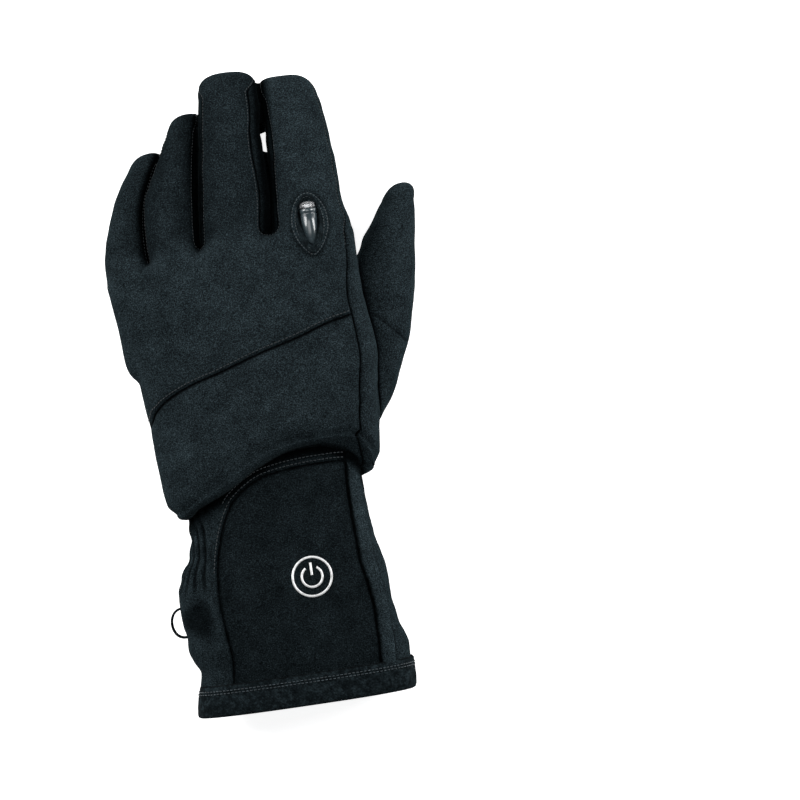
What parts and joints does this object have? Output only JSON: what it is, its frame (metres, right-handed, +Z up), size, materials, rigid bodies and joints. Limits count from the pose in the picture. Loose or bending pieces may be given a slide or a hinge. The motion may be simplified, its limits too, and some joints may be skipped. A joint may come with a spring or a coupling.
{
  "type": "winter cycling glove",
  "caption": "Padded full-finger winter cycling glove for the left hand, lying palm down, with a long gathered cuff, grained leather palm and a small light at the index knuckle.",
  "frame": {"origin": "on the floor that the glove lies on, under the middle of its outline", "axes": "+X across the hand towards the thumb, +Y along the glove towards the fingertips, +Z up out of the back of the hand"},
  "size_m": [0.1394, 0.2806, 0.0477],
  "materials": {
    "softshell": "matt heathered softshell",
    "cuff_fabric": "matt softshell",
    "binding": "matt woven binding",
    "grained_leather": "grained synthetic leather",
    "reflective": "reflective print",
    "light_plastic": "gloss",
    "clear_lens": "clear polycarbonate"
  },
  "bodies": {
    "root": {"back_upper": "softshell", "back_lower": "softshell", "side_little": "softshell", "fourchette_little_ring": "softshell", "fourchette_ring_middle": "softshell", "fourchette_middle_index": "softshell", "side_index": "softshell", "palm_front": "softshell", "palm_heel": "softshell", "thumb_shell": "softshell", "cuff_shell": "cuff_fabric", "cuff_panel": "cuff_fabric", "cuff_tape": "cuff_fabric", "hem_band": "binding", "light_welt": "binding", "light_pocket": "binding", "pull_loop": "binding", "pad_little": "grained_leather", "pad_ring": "grained_leather", "pad_middle": "grained_leather", "pad_index": "grained_leather", "palm_patch": "grained_leather", "thumb_strip": "grained_leather", "emblem_ring": "reflective", "emblem_arc": "reflective", "emblem_bar": "reflective", "light_body": "light_plastic", "light_lens": "clear_lens"}
  },
  "joints": []
}
